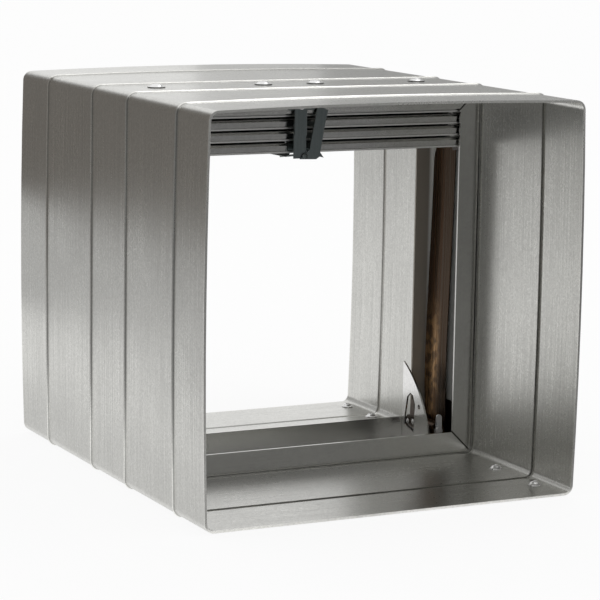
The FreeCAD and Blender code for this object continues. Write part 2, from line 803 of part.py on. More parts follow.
def make_reel_bracket(side, name):
    """Base with two bored ears for the axle and a cheek beside the lock leaf."""
    base = block(f"reel_base_{name}", mirrored(side, CHEEK, f"{CHEEK} + reel_base_width"),
                 (EAR_FRONT, EAR_REAR), (EAR_FOOT, f"{EAR_FOOT} + bracket_sheet"))
    ear = mirrored(side, f"{COIL} - ear_width / 2", f"{COIL} + ear_width / 2")
    tip = f"({SILL} + ear_height - ear_width / 2)"
    centre = f"{side} * {COIL}"
    front = block(f"reel_ear_front_{name}", ear, (EAR_FRONT, f"{EAR_FRONT} + bracket_sheet"),
                  (EAR_FOOT, tip))
    nose = rod(f"reel_ear_nose_{name}", "ear_width / 2", "bracket_sheet", FRONTWARD, centre,
               f"{EAR_FRONT} + bracket_sheet", tip)
    rear = block(f"reel_ear_rear_{name}", ear, (f"{EAR_REAR} - bracket_sheet", EAR_REAR),
                 (EAR_FOOT, f"{COIL_LEVEL} + coil_radius"))
    cheek = block(f"reel_cheek_{name}", mirrored(side, CHEEK, f"{CHEEK} + bracket_sheet"),
                  (f"{EAR_REAR} - cheek_length", EAR_REAR), (EAR_FOOT, f"{EAR_FOOT} + cheek_height"))
    bore = rod(f"reel_bore_{name}", "axle_radius + pin_gap",
               f"{EAR_REAR} - {EAR_FRONT} + 2 * cutting_spare", FRONTWARD, centre,
               f"{EAR_REAR} + cutting_spare", COIL_LEVEL)
    blank = fuse(f"reel_blank_{name}", [base, front, nose, rear, cheek])
    return cut(f"reel_bracket_{name}", blank, [bore])


def make_reel(side, name):
    """Axle pin, hub and the wound part of the spring strip."""
    centre = f"{side} * {COIL}"
    shank = rod(f"reel_shank_{name}", "axle_radius",
                f"{EAR_REAR} - {EAR_FRONT} + axle_tail + axle_head_rise / 2", FRONTWARD, centre,
                f"{EAR_REAR} + axle_tail", COIL_LEVEL)
    cap = rod(f"reel_cap_{name}", "axle_head", "axle_head_rise", FRONTWARD, centre, EAR_FRONT,
              COIL_LEVEL)
    fuse(f"reel_pin_{name}", [shank, cap])
    rings = (("spring_hub", "hub_radius", "axle_radius + axle_play", "hub_spare"),
             ("spring_coil", "coil_radius", "hub_radius + pin_gap", "0"))
    for label, outer, inner, spare in rings:
        length = f"strip_width + 2 * {spare}"
        solid = rod(f"{label}_solid_{name}", outer, length, FRONTWARD, centre,
                    f"{STRIP_REAR} + {spare}", COIL_LEVEL)
        bore = rod(f"{label}_bore_{name}", inner, f"{length} + 2 * cutting_spare", FRONTWARD, centre,
                   f"{STRIP_REAR} + {spare} + cutting_spare", COIL_LEVEL)
        cut(f"{label}_{name}", solid, [bore])


STRIP_FOOT = f"({COIL} + coil_radius + clip_gap)"
STRIP_TOP = f"({LAST_HINGE} - {DROP})"


def make_strip(side, name):
    """The drawn-out part of the constant-force spring, leaning out to the bottom blade's end."""
    lower = mirrored(side, STRIP_FOOT, f"{STRIP_FOOT} + strip_sheet")
    upper = mirrored(side, f"{STRIP_FOOT} + strip_lean", f"{STRIP_FOOT} + strip_lean + strip_sheet")
    return upright(f"spring_strip_{name}", [
        (lower[0], COIL_LEVEL), (lower[1], COIL_LEVEL), (upper[1], STRIP_TOP), (upper[0], STRIP_TOP),
    ], STRIP_FRONT, "strip_width")


def make_clip(side, name):
    """Angle under the bottom blade's end that carries the spring strip."""
    outer = f"({STRIP_FOOT} + strip_lean - clip_gap)"
    web = "(curl_radius - blade_sheet / 2)"
    along = ("clip_front", f"{BLADE} - hem_width - clip_hem_gap")
    flange = block(f"clip_flange_{name}", mirrored(side, f"{outer} - clip_reach", outer), along,
                   (f"{web} - clip_sheet", web))
    leg = block(f"clip_leg_{name}", mirrored(side, f"{outer} - clip_sheet", outer), along,
                (f"{web} - clip_leg", web))
    clip = fuse(f"strip_clip_{name}", [flange, leg])
    clip.Placement.Rotation = Rotation(Vector(-1, 0, 0), 1)
    bind(clip, Placement__Rotation__Angle=FOLD)
    spot(clip, "0", HINGE_FRONT, LAST_HINGE)


def make_cleat(side, name):
    """Corner angle that ties the side channel to the sill channel."""
    leg = block(f"cleat_leg_{name}", mirrored(side, f"{WEB_IN} - cleat_sheet", WEB_IN),
                ("cleat_front", "cleat_front + cleat_width"), (SILL, f"{SILL} + cleat_height"))
    foot = block(f"cleat_base_{name}", mirrored(side, f"{WEB_IN} - cleat_foot", WEB_IN),
                 ("cleat_front", "cleat_front + cleat_width"), (SILL, f"{SILL} + cleat_sheet"))
    return fuse(f"corner_cleat_{name}", [leg, foot])


LEAF = f"({GUIDE} + guide_sheet + leaf_gap)"
LEAF_RIVETS = [(ahead("leaf_rivet_rear"), f"{SILL} + leaf_rivet_rear_rise"),
               (ahead("leaf_rivet_front"), f"{SILL} + leaf_rivet_front_rise")]


def make_leaf(side, name):
    """Spring leaf behind the window and its two rivets."""
    profile(f"lock_leaf_{name}", side, [
        (ahead("leaf_front"), f"{SILL} + leaf_front_rise"),
        (ahead("leaf_rear"), f"{SILL} + leaf_rear_rise"),
        (ahead("leaf_rear"), f"{SILL} + leaf_back_rise"),
        (ahead("leaf_step_place"), f"{SILL} + leaf_step_rise"),
        (ahead("leaf_tongue_rear"), f"{SILL} + leaf_tongue_rise"),
        (ahead("leaf_tongue_front"), f"{SILL} + leaf_tongue_rise"),
        (ahead("leaf_front"), f"{SILL} + leaf_back_rise"),
    ], LEAF, "leaf_sheet")
    fuse(f"leaf_rivets_{name}", [
        rod(f"leaf_rivet{i}_{name}", "small_rivet_radius", "small_rivet_rise", Vector(-side, 0, 0),
            f"{side} * {LEAF}", y, z) for i, (y, z) in enumerate(LEAF_RIVETS)])


make_casing()
make_seam_rivets()
envelope = make_envelope()
for name, angle in (("bottom", 0), ("left", 90), ("top", 180), ("right", 270)):
    channel(f"frame_{name}", angle, envelope)
make_top_rivets()
make_hanger()
for index in range(1, count + 1):
    make_blade(index, index == count)
make_foot()
make_strap()
make_links()
make_link_bracket()
for side, name in ((1, "right"), (-1, "left")):
    for make in (make_guide, make_reel_bracket, make_reel, make_strip, make_clip, make_cleat, make_leaf):
        make(side, name)

NODES = [
    "casing", "casing_seam_rivets", "frame_bottom", "frame_left", "frame_top", "frame_right",
    "frame_top_rivets", "curtain_hanger", *[f"blade_{i}" for i in range(1, count)], "bottom_blade",
    "strap_foot", "strap", "strap_rivet", "link_lower", "link_upper", "link_stud", "link_bracket",
    "link_bracket_rivets",
]
for name in ("right", "left"):
    NODES += [f"{node}_{name}" for node in (
        "guide_plate", "reel_bracket", "reel_pin", "spring_hub", "spring_coil", "spring_strip",
        "strip_clip", "corner_cleat", "lock_leaf", "leaf_rivets")]

doc.recompute()
for item in doc.Objects:
    if "Invalid" in item.State or "Error" in item.State:
        raise RuntimeError(f"{item.Name} did not recompute")
for node in NODES:
    shape = doc.getObjectsByLabel(node)[0].Shape
    if shape.isNull() or not shape.isValid() or shape.Volume <= 0:
        raise RuntimeError(f"{node} has no valid shape")
os.makedirs("parts", exist_ok=True)
for node in NODES:
    doc.getObjectsByLabel(node)[0].Shape.exportStep(f"parts/{node}.step")
print(len(NODES), "pieces; fold at rest", round(solve(FOLD), 3), "closed", solve("closed_angle"))
print("blade", round(solve(BLADE), 3), "hinges", round(solve(FIRST_HINGE), 3), round(solve(HINGE_REAR), 3))
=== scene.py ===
# %% [markdown]
# # A folding-curtain fire damper
# The solids of the damper arrive as a fixed frame in metres. This lesson gives them their
# finishes, adds the pieces that look better with bends and waves in them, and sets up the
# light and the camera of a plain product picture.

# %% Load the frame
import math
import bpy
import mathutils
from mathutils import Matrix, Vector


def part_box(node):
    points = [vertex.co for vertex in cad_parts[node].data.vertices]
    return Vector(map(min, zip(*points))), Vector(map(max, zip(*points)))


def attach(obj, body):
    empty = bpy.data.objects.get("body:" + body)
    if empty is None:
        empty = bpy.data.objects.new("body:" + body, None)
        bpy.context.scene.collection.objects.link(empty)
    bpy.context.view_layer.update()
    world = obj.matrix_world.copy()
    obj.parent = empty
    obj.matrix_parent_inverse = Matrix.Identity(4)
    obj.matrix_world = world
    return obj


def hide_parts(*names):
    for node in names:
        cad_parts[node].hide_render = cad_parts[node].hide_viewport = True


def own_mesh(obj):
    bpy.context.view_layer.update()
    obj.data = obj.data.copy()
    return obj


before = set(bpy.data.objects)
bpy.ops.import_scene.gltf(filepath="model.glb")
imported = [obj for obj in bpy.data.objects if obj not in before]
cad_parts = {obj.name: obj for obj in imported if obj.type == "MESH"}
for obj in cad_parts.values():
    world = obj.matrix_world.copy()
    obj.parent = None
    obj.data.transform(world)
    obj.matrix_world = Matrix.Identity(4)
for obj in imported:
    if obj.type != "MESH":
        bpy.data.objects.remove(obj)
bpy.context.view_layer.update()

# %% [markdown]
# ## Camera
# A product picture like this is taken with a long lens from one side and a little above.
# The camera is made first, so that every later step can be judged through it.

# %% Camera
YAW, PITCH, ROLL = 0.461, 0.165, 0.016
LENS = 152.4
CAMERA_PLACE = mathutils.Vector((-0.5805, -1.1833, 0.3072))

forward = mathutils.Vector((math.sin(YAW) * math.cos(PITCH),
                            math.cos(YAW) * math.cos(PITCH),
                            -math.sin(PITCH)))
right = mathutils.Vector((math.cos(YAW), -math.sin(YAW), 0.0))
above = right.cross(forward)
turned_right = right * math.cos(ROLL) + above * math.sin(ROLL)
turned_above = -right * math.sin(ROLL) + above * math.cos(ROLL)

camera_data = bpy.data.cameras.new("camera")
camera_data.lens = LENS
camera = bpy.data.objects.new("camera", camera_data)
bpy.context.collection.objects.link(camera)
turn = mathutils.Matrix((turned_right, turned_above, -forward)).transposed().to_4x4()
camera.matrix_world = mathutils.Matrix.Translation(CAMERA_PLACE) @ turn
bpy.context.scene.camera = camera
print("camera at", tuple(round(v, 3) for v in CAMERA_PLACE))

# %% [markdown]
# ## Small helpers for node materials
# Every finish is a tree of nodes. Short helpers add a node with its settings, join sockets,
# work out a value and mix colours, so that the trees below read from left to right.

# %% Node helpers
def add_node(tree, kind, place, **settings):
    node = tree.nodes.new(kind)
    node.location = place
    for key, value in settings.items():
        setattr(node, key, value)
    return node


def join(tree, *pairs):
    for source, target in pairs:
        tree.links.new(source, target)


def set_inputs(node, values):
    for socket, value in values.items():
        node.inputs[socket].default_value = value


def new_group(name, inputs, outputs):
    group = bpy.data.node_groups.new(name, "ShaderNodeTree")
    for socket, kind, default in inputs:
        made = group.interface.new_socket(socket, in_out="INPUT", socket_type=kind)
        made.default_value = default
    for socket, kind in outputs:
        group.interface.new_socket(socket, in_out="OUTPUT", socket_type=kind)
    return group


def calc(tree, operation, place, *values, clamp=False):
    """The result of a math node, whose values are sockets or plain numbers."""
    node = add_node(tree, "ShaderNodeMath", place, operation=operation, use_clamp=clamp)
    for target, value in zip(node.inputs, values):
        if isinstance(value, float):
            target.default_value = value
        else:
            tree.links.new(value, target)
    return node.outputs[0]


def mixed(tree, factor, first, second, place):
    """Two colours, each a socket or a plain colour, mixed by the factor."""
    node = add_node(tree, "ShaderNodeMix", place, data_type="RGBA")
    tree.links.new(factor, node.inputs["Factor"])
    for socket, colour in (("A", first), ("B", second)):
        if isinstance(colour, tuple):
            node.inputs[socket].default_value = colour
        else:
            tree.links.new(colour, node.inputs[socket])
    return node.outputs["Result"]


print("node helpers ready")

# %% [markdown]
# ## The zinc skin
# Galvanised sheet shows three things at once: pale crystals about a millimetre wide, the long
# fine lines that rolling leaves, and slow cloudy patches. All zinc pieces share them, so they
# are one group, placed in each material with values of its own. A photograph of the sheet could
# be laid over it instead, but a group of noise keeps its scale on every fold.

# %% Zinc skin group
COLOUR, FLOAT, VECTOR = "NodeSocketColor", "NodeSocketFloat", "NodeSocketVector"

zinc_skin = new_group("zinc_skin", [
    ("Light", COLOUR, (0.7, 0.7, 0.7, 1)),
    ("Dark", COLOUR, (0.45, 0.45, 0.45, 1)),
    ("Crystals", FLOAT, 0.3),
    ("Lines", FLOAT, 0.4),
    ("Clouds", FLOAT, 0.4),
    ("Crystal Scale", FLOAT, 700.0),
    ("Line Stretch", VECTOR, (1500.0, 1500.0, 12.0)),
    ("Smoothest", FLOAT, 0.32),
    ("Roughest", FLOAT, 0.5),
], [("Color", COLOUR), ("Roughness", FLOAT), ("Height", FLOAT)])

tree = zinc_skin
entry = add_node(tree, "NodeGroupInput", (-1200, 0))
leave = add_node(tree, "NodeGroupOutput", (900, 0))
coords = add_node(tree, "ShaderNodeTexCoord", (-1200, 500))
crystals = add_node(tree, "ShaderNodeTexVoronoi", (-700, 500), feature="F1")
crystal_value = add_node(tree, "ShaderNodeSeparateColor", (-480, 500))
stretch = add_node(tree, "ShaderNodeVectorMath", (-900, 200), operation="MULTIPLY")
lines = add_node(tree, "ShaderNodeTexNoise", (-700, 200))
set_inputs(lines, {"Scale": 1.0, "Detail": 3.0, "Roughness": 0.7})
clouds = add_node(tree, "ShaderNodeTexNoise", (-700, -100))
set_inputs(clouds, {"Scale": 22.0, "Detail": 5.0, "Roughness": 0.55})
join(tree,
     (coords.outputs["Object"], crystals.inputs["Vector"]),
     (entry.outputs["Crystal Scale"], crystals.inputs["Scale"]),
     (crystals.outputs["Color"], crystal_value.inputs["Color"]),
     (coords.outputs["Object"], stretch.inputs[0]),
     (entry.outputs["Line Stretch"], stretch.inputs[1]),
     (stretch.outputs["Vector"], lines.inputs["Vector"]),
     (coords.outputs["Object"], clouds.inputs["Vector"]))

shares = []
for source, amount, row in ((crystal_value.outputs["Red"], "Crystals", 500),
                            (lines.outputs["Fac"], "Lines", 200),
                            (clouds.outputs["Fac"], "Clouds", -100)):
    centred = calc(tree, "SUBTRACT", (-300, row), source, 0.5)
    shares.append(calc(tree, "MULTIPLY", (-120, row), centred, entry.outputs[amount]))
total = calc(tree, "ADD", (60, 350), shares[0], shares[1])
total = calc(tree, "ADD", (220, 200), total, shares[2])
lightness = calc(tree, "ADD", (380, 200), total, 0.5, clamp=True)
rough = add_node(tree, "ShaderNodeMapRange", (560, 0))
join(tree,
     (mixed(tree, lightness, entry.outputs["Dark"], entry.outputs["Light"], (560, 300)),
      leave.inputs["Color"]),
     (lightness, rough.inputs["Value"]),
     (entry.outputs["Roughest"], rough.inputs["To Min"]),
     (entry.outputs["Smoothest"], rough.inputs["To Max"]),
     (rough.outputs["Result"], leave.inputs["Roughness"]),
     (total, leave.inputs["Height"]))
print("zinc_skin:", len(zinc_skin.nodes), "nodes")

# %% [markdown]
# ## Metal from the zinc skin
# Each kind of piece gets a finish of its own. The lines run the way that the sheet was rolled:
# round the casing in planes across the duct, and along each folded strip. The tone follows how
# dull or bright the piece is on the real damper, except where it is painted: the hems are painted
# light as a painted highlight, and the rivet collars and corner cleats dark as painted shade.
# Separate noise in every material would also work, but one group is mended in one place.

# %% Zinc materials
LINE_STRETCH = {
    "ring": (10.0, 1500.0, 10.0),
    "X": (10.0, 1500.0, 1500.0),
    "Z": (1500.0, 1500.0, 10.0),
}
RELIEF_DEPTH = 0.0003
DULLED = 0.65


def bare_metal(name, skin_group, values, bump, depth):
    """A metal whose colour, roughness and relief come from a skin group."""
    material = bpy.data.materials.new(name)
    material.use_nodes = True
    tree = material.node_tree
    shader = tree.nodes["Principled BSDF"]
    shader.inputs["Metallic"].default_value = 1.0
    skin = add_node(tree, "ShaderNodeGroup", (-500, 200), node_tree=skin_group)
    set_inputs(skin, values)
    relief = add_node(tree, "ShaderNodeBump", (-220, -150))
    set_inputs(relief, {"Strength": bump, "Distance": depth})
    join(tree,
         (skin.outputs["Color"], shader.inputs["Base Color"]),
         (skin.outputs["Roughness"], shader.inputs["Roughness"]),
         (skin.outputs["Height"], relief.inputs["Height"]),
         (relief.outputs["Normal"], shader.inputs["Normal"]))
    return material


def zinc_metal(name, light, dark, lines_along="Z", crystals=0.22, lines=0.9, clouds=0.4,
               smoothest=0.24, roughest=0.36, crystal_scale=700.0, bump=0.12):
    return bare_metal(name, zinc_skin, {
        "Light": light, "Dark": dark, "Crystals": crystals, "Lines": lines, "Clouds": clouds,
        "Crystal Scale": crystal_scale, "Line Stretch": LINE_STRETCH[lines_along],
        "Smoothest": smoothest, "Roughest": roughest}, bump, RELIEF_DEPTH)


def grey(value, blue=0.95):
    """A grey with a little less blue, as old zinc has."""
    return (value, value * 0.995, value * blue, 1.0)


finishes = {
    "casing": zinc_metal("casing_zinc", grey(0.76), grey(0.47), lines_along="ring", lines=1.3,
                         crystals=0.34, crystal_scale=1300.0, bump=0.06),
    "frame": zinc_metal("frame_zinc", grey(0.64, 0.96), grey(0.46, 0.96),
                        smoothest=0.18, roughest=0.28),
    "frame_across": zinc_metal("frame_zinc_across", grey(0.72, 0.96), grey(0.54, 0.96),
                               lines_along="X", smoothest=0.18, roughest=0.28),
    "blade": zinc_metal("blade_zinc", grey(0.62, 0.97), grey(0.36, 0.97),
                        lines_along="X", smoothest=0.08, roughest=0.2),
    # Painted highlight: a much lighter copy of the blade zinc for the hems.
    "hem": zinc_metal("hem_zinc_painted_highlight", grey(0.95, 0.98), grey(0.8, 0.98),
                      lines_along="X", smoothest=0.3, roughest=0.45),
    "fitting": zinc_metal("fitting_zinc", grey(0.86, 0.98), grey(0.66, 0.98),
                          smoothest=0.12, roughest=0.22, clouds=0.7),
    "bracket": zinc_metal("bracket_zinc", grey(0.9, 0.99), grey(0.74, 0.99),
                          smoothest=0.2, roughest=0.3),
    "rivet": zinc_metal("rivet_steel", grey(0.92, 0.99), grey(0.76, 0.99),
                        crystals=0.1, lines=0.2, smoothest=0.1, roughest=0.18),
    # Painted shade: a dark finish for the collars of rivet heads, for the angle round each head.
    "collar": zinc_metal("rivet_collar_painted_shade", grey(0.3, 0.97), grey(0.16, 0.97),
                         smoothest=0.22, roughest=0.4),
    "strap": zinc_metal("strap_steel", (0.27, 0.3, 0.3, 1), (0.17, 0.2, 0.205, 1),
                        crystals=0.1, smoothest=0.34, roughest=0.5),
    # Painted shade: a dark finish for the corner cleats, set where the channel corners lie in
    # shade; the strip clips share it.
    "dark": zinc_metal("cleat_steel", (0.12, 0.105, 0.1, 1), (0.05, 0.045, 0.042, 1),
                       smoothest=0.3, roughest=0.5),
    "leaf": zinc_metal("leaf_steel", (0.16, 0.13, 0.11, 1), (0.06, 0.05, 0.045, 1),
                       smoothest=0.18, roughest=0.3),
}
for key in ("rivet", "bracket"):
    shader = finishes[key].node_tree.nodes["Principled BSDF"]
    shader.inputs["Metallic"].default_value = DULLED
print("finishes:", sorted(finishes))

# %% [markdown]
# ## Painted highlights and shade along the beads
# Four beads are pressed round the casing to stiffen it. Their crests are painted lighter as a
# painted highlight and the angle beside them darker as painted shade, so each bead shows as a
# thin bright line between two dark ones. The sheet's cut ends are painted brighter as a painted
# highlight. The lines follow the distance from the nearest bead along the duct, which no noise
# could give.

# %% Helpers for tones that follow a place
def ramp(tree, source, low, high, place, low_out=0.0, high_out=1.0):
    """A smooth step of the socket's value from low to high."""
    node = add_node(tree, "ShaderNodeMapRange", place, interpolation_type="SMOOTHSTEP")
    set_inputs(node, {"From Min": low, "From Max": high, "To Min": low_out, "To Max": high_out})
    tree.links.new(source, node.inputs["Value"])
    return node.outputs["Result"]


def toned(tree, colour, tone, place):
    """The colour, made lighter or darker by the tone."""
    node = add_node(tree, "ShaderNodeVectorMath", place, operation="SCALE")
    join(tree, (colour, node.inputs[0]), (tone, node.inputs["Scale"]))
    return node.outputs["Vector"]


def object_axes(tree):
    """The node that splits a point on the damper into its three axes."""
    coords = add_node(tree, "ShaderNodeTexCoord", (-1500, 700))
    axes = add_node(tree, "ShaderNodeSeparateXYZ", (-1300, 700))
    join(tree, (coords.outputs["Object"], axes.inputs[0]))
    return axes


def nearest_line(tree, lines, left):
    """How far the point is from the nearest line, each given by a socket and its value there."""
    nearest = None
    for row, (socket, line) in enumerate(lines):
        level = 900 - 150 * row
        offset = calc(tree, "SUBTRACT", (left, level), socket, line)
        apart = calc(tree, "ABSOLUTE", (left + 180, level), offset)
        if nearest is None:
            nearest = apart
        else:
            nearest = calc(tree, "MINIMUM", (left + 360, level), nearest, apart)
    return nearest


print("place helpers ready")

# %% Bead lines in the casing's finish
BEAD_PLACES = (-0.086, -0.0245, 0.0215, 0.084)
BEAD_CREST, BEAD_FOOT, BEAD_END = 0.0005, 0.001, 0.0019
FOOT_SHADE, CREST_HIGHLIGHT = 0.38, 0.42
CUT_START, CUT_END, CUT_HIGHLIGHT = 0.1219, 0.1226, 1.25

tree = finishes["casing"].node_tree
shader = tree.nodes["Principled BSDF"]
skin_colour = shader.inputs["Base Color"].links[0].from_socket
axes = object_axes(tree)
nearest = nearest_line(tree, [(axes.outputs["Y"], place) for place in BEAD_PLACES], -1100)
# Painted highlight on each crest and painted shade beside it, from the distance to the bead.
painted_crest = ramp(tree, nearest, BEAD_FOOT, BEAD_CREST, (-500, 900), 0.0, CREST_HIGHLIGHT)
inner = ramp(tree, nearest, BEAD_CREST, BEAD_FOOT, (-500, 750))
outer = ramp(tree, nearest, BEAD_END, BEAD_FOOT, (-500, 600), 0.0, -FOOT_SHADE)
# Painted highlight along the cut ends of the sheet.
ends = calc(tree, "ABSOLUTE", (-500, 450), axes.outputs["Y"])
painted_cut_edge = ramp(tree, ends, CUT_START, CUT_END, (-320, 450), 1.0, CUT_HIGHLIGHT)
painted_foot_shade = calc(tree, "MULTIPLY", (-300, 700), inner, outer)
tone = calc(tree, "ADD", (-120, 800), painted_crest, painted_foot_shade)
tone = calc(tree, "ADD", (40, 700), tone, painted_cut_edge)
join(tree, (toned(tree, skin_colour, tone, (200, 600)), shader.inputs["Base Color"]))
print("bead lines at", BEAD_PLACES)

# %% [markdown]
# ## Dust and painted light in the channels, and the seams of the frame
# Inside the two upright channels, where the springs run, the zinc is dull. The rear flange is
# brown with dust. The web is painted pale as painted light, in place of the bright room that it
# reflects past the strip. The front flanges are clean. The four folded sides of the frame meet at
# the corners
# in slanting seams that are left open by a hair. Both follow from where a point lies on the
# damper:
# the dust and the painted light from how far it is behind the front flange and out to the side,
# the seam from height against width.

# %% Dust and seams in the frame's finish
CLEAN_UP_TO, CHANNEL_FROM = -0.0212, -0.02
WEB_FROM, WEB_TO = 0.0965, 0.0985
DUST_BROWN, WEB_PAINTED_LIGHT = (0.33, 0.3, 0.255, 1.0), (0.8, 0.8, 0.77, 1.0)
CHANNEL_METALLIC = 0.35
SEAM_LOW, SEAM_HIGH = 0.1028, 0.0988
SEAM_CORE, SEAM_RIM = 0.00035, 0.0008
SEAM_TONE = 0.12


def draw_seams(tree):
    """Darken the finish along its seams. Gives its colour, the axes and the place in width."""
    shader = tree.nodes["Principled BSDF"]
    skin_colour = shader.inputs["Base Color"].links[0].from_socket
    axes = object_axes(tree)
    width = calc(tree, "ABSOLUTE", (-1100, 900), axes.outputs["X"])
    falling = calc(tree, "ADD", (-900, 900), axes.outputs["Z"], width)
    rising = calc(tree, "SUBTRACT", (-900, 750), axes.outputs["Z"], width)
    nearest = nearest_line(tree, [(falling, SEAM_LOW), (rising, SEAM_HIGH)], -720)
    seam = ramp(tree, nearest, SEAM_CORE, SEAM_RIM, (-180, 900), SEAM_TONE, 1.0)
    seamed = toned(tree, skin_colour, seam, (40, 700))
    join(tree, (seamed, shader.inputs["Base Color"]))
    return seamed, axes, width


draw_seams(finishes["frame_across"].node_tree)
tree = finishes["frame"].node_tree
shader = tree.nodes["Principled BSDF"]
seamed, axes, width = draw_seams(tree)
channel_coat = ramp(tree, axes.outputs["Y"], CLEAN_UP_TO, CHANNEL_FROM, (-180, 600))
channel_metal = ramp(tree, axes.outputs["Y"], CLEAN_UP_TO, CHANNEL_FROM, (-180, 400), 1.0, CHANNEL_METALLIC)
# The pale web is painted light; the brown on the rear flange is dust.
on_web = ramp(tree, width, WEB_FROM, WEB_TO, (-180, 250))
channel_tone = mixed(tree, on_web, DUST_BROWN, WEB_PAINTED_LIGHT, (40, 500))
join(tree,
     (mixed(tree, channel_coat, seamed, channel_tone, (220, 700)), shader.inputs["Base Color"]),
     (channel_metal, shader.inputs["Metallic"]))
print("dust and seams in the frame")

# %% [markdown]
# ## Heat-tinted spring steel, with painted light and shade
# The two springs are thin strips wound on reels. Tempering leaves them brown, with copper in long
# faint lines. Low down near the reel, the rear part of the strip is painted straw in blotches and
# its copper lines grow stronger towards the rear, as painted light on the lit rear part. The
# front part stays dark brown as painted shade from the front flange. The end faces of the wound
# part show its turns as fine rings. Both come from one group: the tint is driven by the height on
# the damper and the place across the strip, and the rings by the distance from the reel's axis.

# %% Spring steel group
REEL_PLACE, REEL_LEVEL = 0.0911, 0.0105
TURN_RINGS = 9000.0
RING_DARK, RING_LIGHT = 0.25, 1.75
STRAW_HIGH, STRAW_LOW = 0.088, 0.05
SHADED_FRONT, LIT_REAR = 0.004, 0.014
BLOT_SCALE, BLOT_LOW, BLOT_HIGH = 190.0, 0.42, 0.58
LEAST_STRAW, LEAST_COPPER = 0.25, 0.15
STREAK_STRETCH = (300.0, 900.0, 14.0)
STREAK_LOW, STREAK_HIGH = 0.4, 0.66
SPRING_SMOOTHEST, SPRING_ROUGHEST = 0.22, 0.36

spring_skin = new_group("spring_skin", [
    ("Brown", COLOUR, (0.034, 0.019, 0.008, 1)),
    ("Copper", COLOUR, (0.1, 0.045, 0.016, 1)),
    ("Straw", COLOUR, (0.34, 0.2, 0.09, 1)),
    ("Lit Straw", FLOAT, 1.0),
    ("Rings", FLOAT, 0.0),
], [("Color", COLOUR), ("Roughness", FLOAT), ("Height", FLOAT)])
tree = spring_skin
entry = add_node(tree, "NodeGroupInput", (-1400, 0))
leave = add_node(tree, "NodeGroupOutput", (900, 0))
coords = add_node(tree, "ShaderNodeTexCoord", (-1400, 400))
axes = add_node(tree, "ShaderNodeSeparateXYZ", (-1150, 400))
along = add_node(tree, "ShaderNodeVectorMath", (-1150, 150), operation="MULTIPLY")
along.inputs[1].default_value = STREAK_STRETCH
streaks = add_node(tree, "ShaderNodeTexNoise", (-900, 150))
set_inputs(streaks, {"Scale": 1.0, "Detail": 4.0})
blots = add_node(tree, "ShaderNodeTexNoise", (-900, -100))
set_inputs(blots, {"Scale": BLOT_SCALE, "Detail": 2.0})
join(tree,
     (coords.outputs["Object"], axes.inputs[0]),
     (coords.outputs["Object"], along.inputs[0]),
     (along.outputs["Vector"], streaks.inputs["Vector"]),
     (coords.outputs["Object"], blots.inputs["Vector"]))

# Painted light: straw low down at the rear of the strip and more copper towards the rear; the
# front is left dark as painted shade.
low_down = ramp(tree, axes.outputs["Z"], STRAW_HIGH, STRAW_LOW, (-700, 500))
rear_light = ramp(tree, axes.outputs["Y"], SHADED_FRONT, LIT_REAR, (-700, 300))
blotchy = ramp(tree, blots.outputs["Fac"], BLOT_LOW, BLOT_HIGH, (-700, -100), LEAST_STRAW, 1.0)
lit_straw = low_down
for factor, x in ((rear_light, -480), (blotchy, -300), (entry.outputs["Lit Straw"], -120)):
    lit_straw = calc(tree, "MULTIPLY", (x, 300), lit_straw, factor)
streaky = ramp(tree, streaks.outputs["Fac"], STREAK_LOW, STREAK_HIGH, (-700, 120))
lit_rear_copper = ramp(tree, axes.outputs["Y"], SHADED_FRONT, LIT_REAR, (-700, 0), LEAST_COPPER, 1.0)
coppery = calc(tree, "MULTIPLY", (-300, 100), streaky, lit_rear_copper)
tinted = mixed(tree, coppery, entry.outputs["Brown"], entry.outputs["Copper"], (60, 100))
bright = mixed(tree, lit_straw, tinted, entry.outputs["Straw"], (260, 200))

mirrored = calc(tree, "ABSOLUTE", (-900, 700), axes.outputs["X"])
beside = calc(tree, "SUBTRACT", (-700, 750), mirrored, REEL_PLACE)
over = calc(tree, "SUBTRACT", (-700, 620), axes.outputs["Z"], REEL_LEVEL)
spoke = add_node(tree, "ShaderNodeCombineXYZ", (-500, 700))
reach = add_node(tree, "ShaderNodeVectorMath", (-320, 700), operation="LENGTH")
join(tree,
     (beside, spoke.inputs["X"]),
     (over, spoke.inputs["Z"]),
     (spoke.outputs[0], reach.inputs[0]))
turns = calc(tree, "MULTIPLY", (-140, 700), reach.outputs["Value"], TURN_RINGS)
rings = calc(tree, "SINE", (40, 700), turns)
ringed = calc(tree, "MULTIPLY", (220, 600), rings, entry.outputs["Rings"])
shade = add_node(tree, "ShaderNodeMapRange", (400, 500))
set_inputs(shade, {"From Min": -1.0, "From Max": 1.0, "To Min": RING_DARK, "To Max": RING_LIGHT})
rough = add_node(tree, "ShaderNodeMapRange", (600, 0))
set_inputs(rough, {"To Min": SPRING_SMOOTHEST, "To Max": SPRING_ROUGHEST})
join(tree,
     (ringed, shade.inputs["Value"]),
     (toned(tree, bright, shade.outputs["Result"], (600, 300)), leave.inputs["Color"]),
     (streaky, rough.inputs["Value"]),
     (rough.outputs["Result"], leave.inputs["Roughness"]),
     (calc(tree, "ADD", (600, 600), ringed, streaky), leave.inputs["Height"]))
print("spring_skin:", len(spring_skin.nodes), "nodes")

# %% Spring materials
SPRING_BUMP, SPRING_RELIEF = 0.15, 0.0002

finishes["strip"] = bare_metal("spring_strip_steel", spring_skin, {"Lit Straw": 1.0, "Rings": 0.0},
                               SPRING_BUMP, SPRING_RELIEF)
finishes["coil"] = bare_metal("spring_coil_steel", spring_skin, {"Lit Straw": 0.0, "Rings": 0.8},
                              SPRING_BUMP, SPRING_RELIEF)
print("spring finishes:", finishes["strip"].name, finishes["coil"].name)

